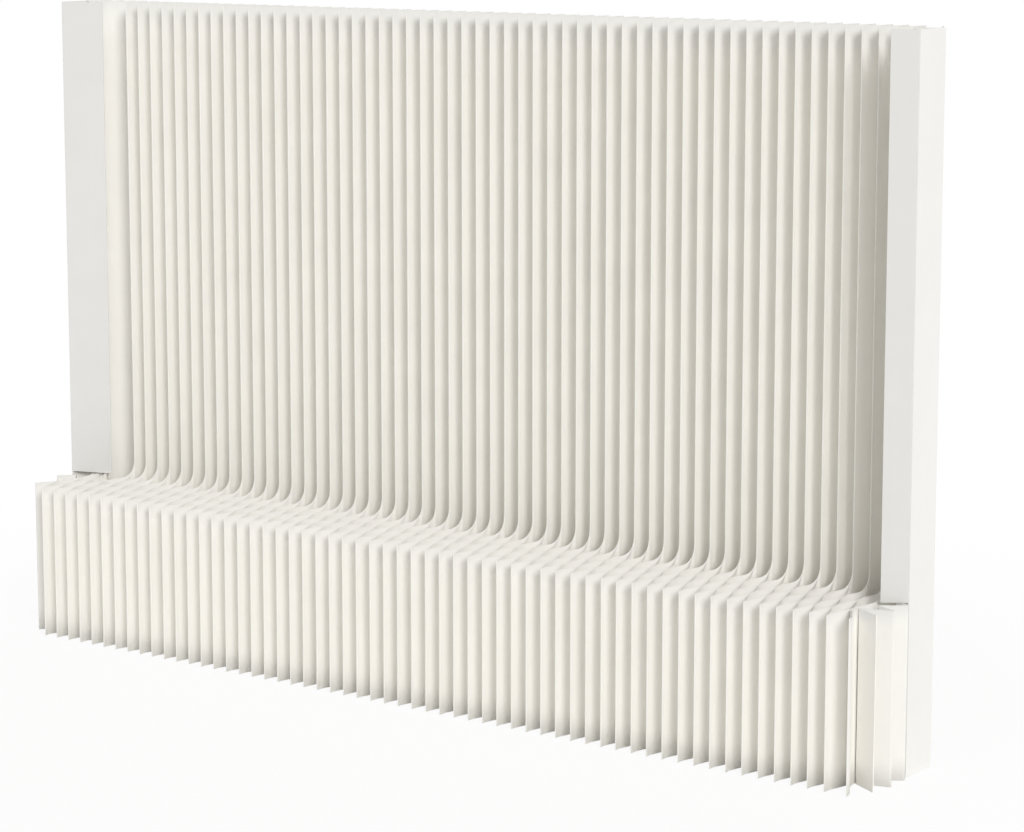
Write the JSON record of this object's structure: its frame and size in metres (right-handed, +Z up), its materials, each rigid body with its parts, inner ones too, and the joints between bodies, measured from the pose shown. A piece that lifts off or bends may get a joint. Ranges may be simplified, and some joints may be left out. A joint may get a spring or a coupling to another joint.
{
  "type": "expandable paper screen",
  "caption": "Free-standing expandable honeycomb paper screen with an L-shaped profile: a tall pleated wall above a low bench step, with flat end boards and flaps.",
  "frame": {"origin": "bottom centre of the screen's bounding box, on the floor, fully pulled out", "axes": "+X along the width towards the right end that pulls out, +Y towards the flat back, -Y is the front with the bench step, +Z up"},
  "size_m": [2.9966, 0.43, 2],
  "materials": {
    "paper": "matte",
    "card": "matte",
    "board": "matte"
  },
  "bodies": {
    "left_end": {"left_end_board": "board", "left_end_leaf": "card"},
    "leaf_block_01": {"leaf_block_01": "paper"},
    "leaf_block_02": {"leaf_block_02": "paper"},
    "leaf_block_03": {"leaf_block_03": "paper"},
    "leaf_block_04": {"leaf_block_04": "paper"},
    "leaf_block_05": {"leaf_block_05": "paper"},
    "leaf_block_06": {"leaf_block_06": "paper"},
    "leaf_block_07": {"leaf_block_07": "paper"},
    "leaf_block_08": {"leaf_block_08": "paper"},
    "leaf_block_09": {"leaf_block_09": "paper"},
    "leaf_block_10": {"leaf_block_10": "paper"},
    "leaf_block_11": {"leaf_block_11": "paper"},
    "leaf_block_12": {"leaf_block_12": "paper"},
    "leaf_block_13": {"leaf_block_13": "paper"},
    "leaf_block_14": {"leaf_block_14": "paper"},
    "leaf_block_15": {"leaf_block_15": "paper"},
    "leaf_block_16": {"leaf_block_16": "paper"},
    "leaf_block_17": {"leaf_block_17": "paper"},
    "leaf_block_18": {"leaf_block_18": "paper"},
    "leaf_block_19": {"leaf_block_19": "paper"},
    "leaf_block_20": {"leaf_block_20": "paper"},
    "leaf_block_21": {"leaf_block_21": "paper"},
    "leaf_block_22": {"leaf_block_22": "paper"},
    "leaf_block_23": {"leaf_block_23": "paper"},
    "leaf_block_24": {"leaf_block_24": "paper"},
    "leaf_block_25": {"leaf_block_25": "paper"},
    "leaf_block_26": {"leaf_block_26": "paper"},
    "leaf_block_27": {"leaf_block_27": "paper"},
    "leaf_block_28": {"leaf_block_28": "paper"},
    "leaf_block_29": {"leaf_block_29": "paper"},
    "right_end": {"right_end_board": "board", "right_end_leaf": "card"},
    "left_flap": {"left_end_flap": "board"},
    "right_flap": {"right_end_flap": "board"}
  },
  "joints": [
    {"name": "pull_out", "type": "slide", "parent": "left_end", "child": "right_end", "axis": [1, 0, 0], "range_m": [-1, 0], "deforming": ["leaf_block_01", "leaf_block_02", "leaf_block_03", "leaf_block_04", "leaf_block_05", "leaf_block_06", "leaf_block_07", "leaf_block_08", "leaf_block_09", "leaf_block_10", "leaf_block_11", "leaf_block_12", "leaf_block_13", "leaf_block_14", "leaf_block_15", "leaf_block_16", "leaf_block_17", "leaf_block_18", "leaf_block_19", "leaf_block_20", "leaf_block_21", "leaf_block_22", "leaf_block_23", "leaf_block_24", "leaf_block_25", "leaf_block_26", "leaf_block_27", "leaf_block_28", "leaf_block_29"]},
    {"name": "open_01", "type": "slide", "parent": "left_end", "child": "leaf_block_01", "axis": [1, 0, 0], "range_m": [-0.0182, 0]},
    {"name": "open_02", "type": "slide", "parent": "left_end", "child": "leaf_block_02", "axis": [1, 0, 0], "range_m": [-0.0527, 0]},
    {"name": "open_03", "type": "slide", "parent": "left_end", "child": "leaf_block_03", "axis": [1, 0, 0], "range_m": [-0.0872, 0]},
    {"name": "open_04", "type": "slide", "parent": "left_end", "child": "leaf_block_04", "axis": [1, 0, 0], "range_m": [-0.1217, 0]},
    {"name": "open_05", "type": "slide", "parent": "left_end", "child": "leaf_block_05", "axis": [1, 0, 0], "range_m": [-0.1562, 0]},
    {"name": "open_06", "type": "slide", "parent": "left_end", "child": "leaf_block_06", "axis": [1, 0, 0], "range_m": [-0.1907, 0]},
    {"name": "open_07", "type": "slide", "parent": "left_end", "child": "leaf_block_07", "axis": [1, 0, 0], "range_m": [-0.2251, 0]},
    {"name": "open_08", "type": "slide", "parent": "left_end", "child": "leaf_block_08", "axis": [1, 0, 0], "range_m": [-0.2596, 0]},
    {"name": "open_09", "type": "slide", "parent": "left_end", "child": "leaf_block_09", "axis": [1, 0, 0], "range_m": [-0.2941, 0]},
    {"name": "open_10", "type": "slide", "parent": "left_end", "child": "leaf_block_10", "axis": [1, 0, 0], "range_m": [-0.3286, 0]},
    {"name": "open_11", "type": "slide", "parent": "left_end", "child": "leaf_block_11", "axis": [1, 0, 0], "range_m": [-0.3631, 0]},
    {"name": "open_12", "type": "slide", "parent": "left_end", "child": "leaf_block_12", "axis": [1, 0, 0], "range_m": [-0.3976, 0]},
    {"name": "open_13", "type": "slide", "parent": "left_end", "child": "leaf_block_13", "axis": [1, 0, 0], "range_m": [-0.432, 0]},
    {"name": "open_14", "type": "slide", "parent": "left_end", "child": "leaf_block_14", "axis": [1, 0, 0], "range_m": [-0.4665, 0]},
    {"name": "open_15", "type": "slide", "parent": "left_end", "child": "leaf_block_15", "axis": [1, 0, 0], "range_m": [-0.501, 0]},
    {"name": "open_16", "type": "slide", "parent": "left_end", "child": "leaf_block_16", "axis": [1, 0, 0], "range_m": [-0.5355, 0]},
    {"name": "open_17", "type": "slide", "parent": "left_end", "child": "leaf_block_17", "axis": [1, 0, 0], "range_m": [-0.57, 0]},
    {"name": "open_18", "type": "slide", "parent": "left_end", "child": "leaf_block_18", "axis": [1, 0, 0], "range_m": [-0.6044, 0]},
    {"name": "open_19", "type": "slide", "parent": "left_end", "child": "leaf_block_19", "axis": [1, 0, 0], "range_m": [-0.6389, 0]},
    {"name": "open_20", "type": "slide", "parent": "left_end", "child": "leaf_block_20", "axis": [1, 0, 0], "range_m": [-0.6734, 0]},
    {"name": "open_21", "type": "slide", "parent": "left_end", "child": "leaf_block_21", "axis": [1, 0, 0], "range_m": [-0.7079, 0]},
    {"name": "open_22", "type": "slide", "parent": "left_end", "child": "leaf_block_22", "axis": [1, 0, 0], "range_m": [-0.7424, 0]},
    {"name": "open_23", "type": "slide", "parent": "left_end", "child": "leaf_block_23", "axis": [1, 0, 0], "range_m": [-0.7769, 0]},
    {"name": "open_24", "type": "slide", "parent": "left_end", "child": "leaf_block_24", "axis": [1, 0, 0], "range_m": [-0.8113, 0]},
    {"name": "open_25", "type": "slide", "parent": "left_end", "child": "leaf_block_25", "axis": [1, 0, 0], "range_m": [-0.8458, 0]},
    {"name": "open_26", "type": "slide", "parent": "left_end", "child": "leaf_block_26", "axis": [1, 0, 0], "range_m": [-0.8803, 0]},
    {"name": "open_27", "type": "slide", "parent": "left_end", "child": "leaf_block_27", "axis": [1, 0, 0], "range_m": [-0.9148, 0]},
    {"name": "open_28", "type": "slide", "parent": "left_end", "child": "leaf_block_28", "axis": [1, 0, 0], "range_m": [-0.9493, 0]},
    {"name": "open_29", "type": "slide", "parent": "left_end", "child": "leaf_block_29", "axis": [1, 0, 0], "range_m": [-0.9838, 0]},
    {"name": "left_flap_hinge", "type": "hinge", "parent": "left_end", "child": "left_flap", "pos_m": [-1.49075, 0.0143, 1.2], "axis": [0, 0, 1], "range_deg": [-120, 0]},
    {"name": "right_flap_hinge", "type": "hinge", "parent": "right_end", "child": "right_flap", "pos_m": [1.48035, 0.0113, 1.2], "axis": [0, 0, 1], "range_deg": [-20, 120]}
  ],
  "couplings": [
    {"joint": "open_01", "follows": "pull_out", "ratio": 0.0172},
    {"joint": "open_02", "follows": "pull_out", "ratio": 0.0517},
    {"joint": "open_03", "follows": "pull_out", "ratio": 0.0862},
    {"joint": "open_04", "follows": "pull_out", "ratio": 0.1207},
    {"joint": "open_05", "follows": "pull_out", "ratio": 0.1552},
    {"joint": "open_06", "follows": "pull_out", "ratio": 0.1897},
    {"joint": "open_07", "follows": "pull_out", "ratio": 0.2241},
    {"joint": "open_08", "follows": "pull_out", "ratio": 0.2586},
    {"joint": "open_09", "follows": "pull_out", "ratio": 0.2931},
    {"joint": "open_10", "follows": "pull_out", "ratio": 0.3276},
    {"joint": "open_11", "follows": "pull_out", "ratio": 0.3621},
    {"joint": "open_12", "follows": "pull_out", "ratio": 0.3966},
    {"joint": "open_13", "follows": "pull_out", "ratio": 0.431},
    {"joint": "open_14", "follows": "pull_out", "ratio": 0.4655},
    {"joint": "open_15", "follows": "pull_out", "ratio": 0.5},
    {"joint": "open_16", "follows": "pull_out", "ratio": 0.5345},
    {"joint": "open_17", "follows": "pull_out", "ratio": 0.569},
    {"joint": "open_18", "follows": "pull_out", "ratio": 0.6034},
    {"joint": "open_19", "follows": "pull_out", "ratio": 0.6379},
    {"joint": "open_20", "follows": "pull_out", "ratio": 0.6724},
    {"joint": "open_21", "follows": "pull_out", "ratio": 0.7069},
    {"joint": "open_22", "follows": "pull_out", "ratio": 0.7414},
    {"joint": "open_23", "follows": "pull_out", "ratio": 0.7759},
    {"joint": "open_24", "follows": "pull_out", "ratio": 0.8103},
    {"joint": "open_25", "follows": "pull_out", "ratio": 0.8448},
    {"joint": "open_26", "follows": "pull_out", "ratio": 0.8793},
    {"joint": "open_27", "follows": "pull_out", "ratio": 0.9138},
    {"joint": "open_28", "follows": "pull_out", "ratio": 0.9483},
    {"joint": "open_29", "follows": "pull_out", "ratio": 0.9828}
  ]
}
